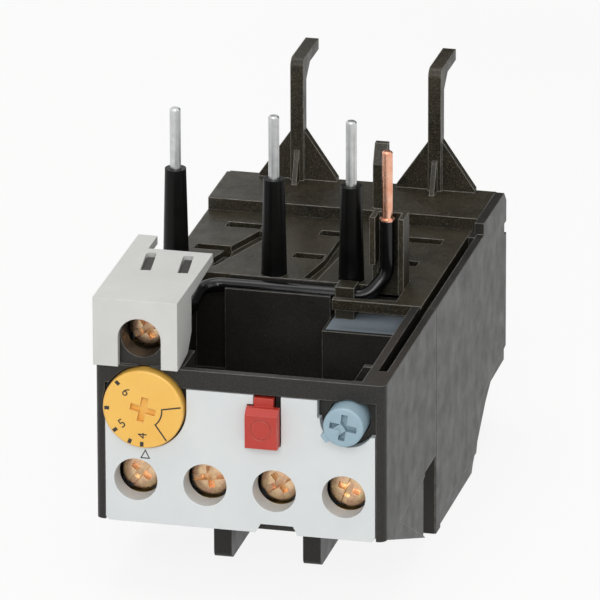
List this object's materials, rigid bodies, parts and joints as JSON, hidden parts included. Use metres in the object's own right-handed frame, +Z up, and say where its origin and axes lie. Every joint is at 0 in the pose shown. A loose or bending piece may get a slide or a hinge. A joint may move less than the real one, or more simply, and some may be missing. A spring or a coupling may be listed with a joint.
{
  "type": "thermal overload relay",
  "caption": "Plug-in thermal overload relay with setting dial, test and reset buttons, screw terminals, contact pins, an insulated lead and rear hooks.",
  "frame": {"origin": "middle of the whole part's footprint, on the plane that it stands on", "axes": "+Z up along the contact pins, +X to the right and +Y to the back, seen from the front plate"},
  "size_m": [0.045, 0.0948, 0.0635],
  "materials": {
    "black_housing": "moulded polyamide, fine satin grain",
    "black_cover": "moulded polyamide, satin",
    "black_sleeve": "smooth moulded sleeve",
    "lead_sheath": "glossy cable sheath",
    "grey_plate": "pale grey satin",
    "white_cover": "warm white satin",
    "orange_dial": "orange yellow satin",
    "red_button": "red satin",
    "blue_knob": "grey blue satin",
    "inner_plastic": "natural moulded plastic",
    "tinned_pin": "tin plated",
    "copper": "bare copper",
    "screw_brass": "yellow passivated zinc plate",
    "terminal_brass": "plain brass",
    "clamp_steel": "zinc plated",
    "spring_steel": "drawn wire",
    "bimetal": "rolled strip",
    "heater_wire": "drawn resistance wire"
  },
  "bodies": {
    "casing": {"front_housing": "black_housing", "rear_housing": "black_housing", "top_cover": "black_cover", "hook_bracket": "black_cover", "front_plate": "grey_plate", "terminal_cover": "white_cover", "lead_insulation": "lead_sheath", "lead_conductor": "copper", "lead_guide": "black_cover", "lead_clip": "black_cover", "link_plate": "terminal_brass", "pivot_pins": "clamp_steel", "aux_blade_1": "terminal_brass", "aux_blade_2": "terminal_brass", "aux_blade_3": "terminal_brass", "aux_blade_4": "terminal_brass", "contact_pin_1": "tinned_pin", "pin_sleeve_1": "black_sleeve", "main_bar_1": "terminal_brass", "bimetal_1": "bimetal", "heater_1": "heater_wire", "contact_pin_2": "tinned_pin", "pin_sleeve_2": "black_sleeve", "main_bar_2": "terminal_brass", "bimetal_2": "bimetal", "heater_2": "heater_wire", "contact_pin_3": "tinned_pin", "pin_sleeve_3": "black_sleeve", "main_bar_3": "terminal_brass", "bimetal_3": "bimetal", "heater_3": "heater_wire"},
    "trip_slide": {"trip_slide": "inner_plastic"},
    "differential_slide": {"differential_slide": "inner_plastic"},
    "compensator_lever": {"compensator_lever": "inner_plastic"},
    "contact_carrier": {"contact_carrier": "inner_plastic", "contact_bridges": "terminal_brass"},
    "dial": {"adjusting_dial": "orange_dial", "dial_shaft": "orange_dial"},
    "adjusting_lever": {"adjusting_lever": "inner_plastic"},
    "test_button": {"test_button": "red_button", "test_spring": "spring_steel"},
    "reset_plunger": {"reset_plunger": "inner_plastic", "reset_spring": "spring_steel"},
    "reset_knob": {"reset_knob": "blue_knob"},
    "link_clamp": {"link_clamp": "clamp_steel"},
    "link_screw": {"link_screw": "screw_brass"},
    "aux_clamp_1": {"aux_clamp_1": "clamp_steel"},
    "aux_screw_1": {"aux_screw_1": "screw_brass"},
    "aux_clamp_2": {"aux_clamp_2": "clamp_steel"},
    "aux_screw_2": {"aux_screw_2": "screw_brass"},
    "aux_clamp_3": {"aux_clamp_3": "clamp_steel"},
    "aux_screw_3": {"aux_screw_3": "screw_brass"},
    "aux_clamp_4": {"aux_clamp_4": "clamp_steel"},
    "aux_screw_4": {"aux_screw_4": "screw_brass"},
    "main_clamp_1": {"main_clamp_1": "clamp_steel"},
    "main_screw_1": {"main_screw_1": "clamp_steel"},
    "main_clamp_2": {"main_clamp_2": "clamp_steel"},
    "main_screw_2": {"main_screw_2": "clamp_steel"},
    "main_clamp_3": {"main_clamp_3": "clamp_steel"},
    "main_screw_3": {"main_screw_3": "clamp_steel"}
  },
  "joints": [
    {"name": "aux_clamp_1_travel", "type": "slide", "parent": "casing", "child": "aux_clamp_1", "axis": [0, -1, 0], "range_m": [0, 0.0018]},
    {"name": "aux_screw_1_turn", "type": "hinge", "parent": "aux_clamp_1", "child": "aux_screw_1", "pos_m": [-0.01621, -0.03935, 0.0188], "axis": [0, -1, 0], "range_deg": [0, 1080]},
    {"name": "aux_clamp_2_travel", "type": "slide", "parent": "casing", "child": "aux_clamp_2", "axis": [0, -1, 0], "range_m": [0, 0.0018]},
    {"name": "aux_screw_2_turn", "type": "hinge", "parent": "aux_clamp_2", "child": "aux_screw_2", "pos_m": [-0.00545, -0.03935, 0.0188], "axis": [0, -1, 0], "range_deg": [0, 1080]},
    {"name": "aux_clamp_3_travel", "type": "slide", "parent": "casing", "child": "aux_clamp_3", "axis": [0, -1, 0], "range_m": [0, 0.0018]},
    {"name": "aux_screw_3_turn", "type": "hinge", "parent": "aux_clamp_3", "child": "aux_screw_3", "pos_m": [0.00532, -0.03935, 0.0188], "axis": [0, -1, 0], "range_deg": [0, 1080]},
    {"name": "aux_clamp_4_travel", "type": "slide", "parent": "casing", "child": "aux_clamp_4", "axis": [0, -1, 0], "range_m": [0, 0.0018]},
    {"name": "aux_screw_4_turn", "type": "hinge", "parent": "aux_clamp_4", "child": "aux_screw_4", "pos_m": [0.01608, -0.03935, 0.0188], "axis": [0, -1, 0], "range_deg": [0, 1080]},
    {"name": "link_clamp_travel", "type": "slide", "parent": "casing", "child": "link_clamp", "axis": [0, -1, 0], "range_m": [0, 0.0018]},
    {"name": "link_screw_turn", "type": "hinge", "parent": "link_clamp", "child": "link_screw", "pos_m": [-0.0153, -0.03835, 0.0416], "axis": [0, -1, 0], "range_deg": [0, 1080]},
    {"name": "main_screw_1_turn", "type": "hinge", "parent": "casing", "child": "main_screw_1", "pos_m": [-0.014, -0.00835, 0.0057], "axis": [0, 1, 0], "range_deg": [0, 1800]},
    {"name": "main_clamp_1_travel", "type": "slide", "parent": "casing", "child": "main_clamp_1", "axis": [0, -1, 0], "range_m": [0, 0.0035]},
    {"name": "main_screw_2_turn", "type": "hinge", "parent": "casing", "child": "main_screw_2", "pos_m": [0, -0.00835, 0.0057], "axis": [0, 1, 0], "range_deg": [0, 1800]},
    {"name": "main_clamp_2_travel", "type": "slide", "parent": "casing", "child": "main_clamp_2", "axis": [0, -1, 0], "range_m": [0, 0.0035]},
    {"name": "main_screw_3_turn", "type": "hinge", "parent": "casing", "child": "main_screw_3", "pos_m": [0.014, -0.00835, 0.0057], "axis": [0, 1, 0], "range_deg": [0, 1800]},
    {"name": "main_clamp_3_travel", "type": "slide", "parent": "casing", "child": "main_clamp_3", "axis": [0, -1, 0], "range_m": [0, 0.0035]},
    {"name": "trip_slide_travel", "type": "slide", "parent": "casing", "child": "trip_slide", "axis": [1, 0, 0], "range_m": [0, 0.0015]},
    {"name": "differential_slide_travel", "type": "slide", "parent": "casing", "child": "differential_slide", "axis": [1, 0, 0], "range_m": [0, 0.0015]},
    {"name": "compensator_lever_turn", "type": "hinge", "parent": "casing", "child": "compensator_lever", "pos_m": [-0.015, -0.01735, 0.0169], "axis": [0, 0, -1], "range_deg": [0, 11]},
    {"name": "contact_carrier_travel", "type": "slide", "parent": "casing", "child": "contact_carrier", "axis": [0, -1, 0], "range_m": [0, 0.0012]},
    {"name": "dial_turn", "type": "hinge", "parent": "casing", "child": "dial", "pos_m": [-0.0148, -0.04435, 0.0306], "axis": [0, -1, 0], "range_deg": [-4, 136]},
    {"name": "adjusting_lever_turn", "type": "hinge", "parent": "casing", "child": "adjusting_lever", "pos_m": [-0.0194, -0.03935, 0.02725], "axis": [0, 1, 0], "range_deg": [-1, 23]},
    {"name": "test_button_press", "type": "slide", "parent": "casing", "child": "test_button", "axis": [0, 1, 0], "range_m": [0, 0.0015], "stiffness_N_per_m": 400, "springref_m": -0.001},
    {"name": "reset_press", "type": "slide", "parent": "casing", "child": "reset_plunger", "axis": [0, 1, 0], "range_m": [0, 0.002], "stiffness_N_per_m": 400, "springref_m": -0.001},
    {"name": "reset_knob_turn", "type": "hinge", "parent": "reset_plunger", "child": "reset_knob", "pos_m": [0.0167, -0.04435, 0.0312], "axis": [0, -1, 0], "range_deg": [0, 90]}
  ],
  "couplings": [
    {"joint": "aux_screw_1_turn", "follows": "aux_clamp_1_travel", "rad_per_m": 10472},
    {"joint": "aux_screw_2_turn", "follows": "aux_clamp_2_travel", "rad_per_m": 10472},
    {"joint": "aux_screw_3_turn", "follows": "aux_clamp_3_travel", "rad_per_m": 10472},
    {"joint": "aux_screw_4_turn", "follows": "aux_clamp_4_travel", "rad_per_m": 10472},
    {"joint": "link_screw_turn", "follows": "link_clamp_travel", "rad_per_m": 10472},
    {"joint": "main_screw_1_turn", "follows": "main_clamp_1_travel", "rad_per_m": 8976},
    {"joint": "main_screw_2_turn", "follows": "main_clamp_2_travel", "rad_per_m": 8976},
    {"joint": "main_screw_3_turn", "follows": "main_clamp_3_travel", "rad_per_m": 8976},
    {"joint": "differential_slide_travel", "follows": "trip_slide_travel", "ratio": 1},
    {"joint": "compensator_lever_turn", "follows": "trip_slide_travel", "rad_per_m": 121.33},
    {"joint": "contact_carrier_travel", "follows": "trip_slide_travel", "ratio": 0.8},
    {"joint": "adjusting_lever_turn", "follows": "dial_turn", "ratio": 0.16176}
  ]
}
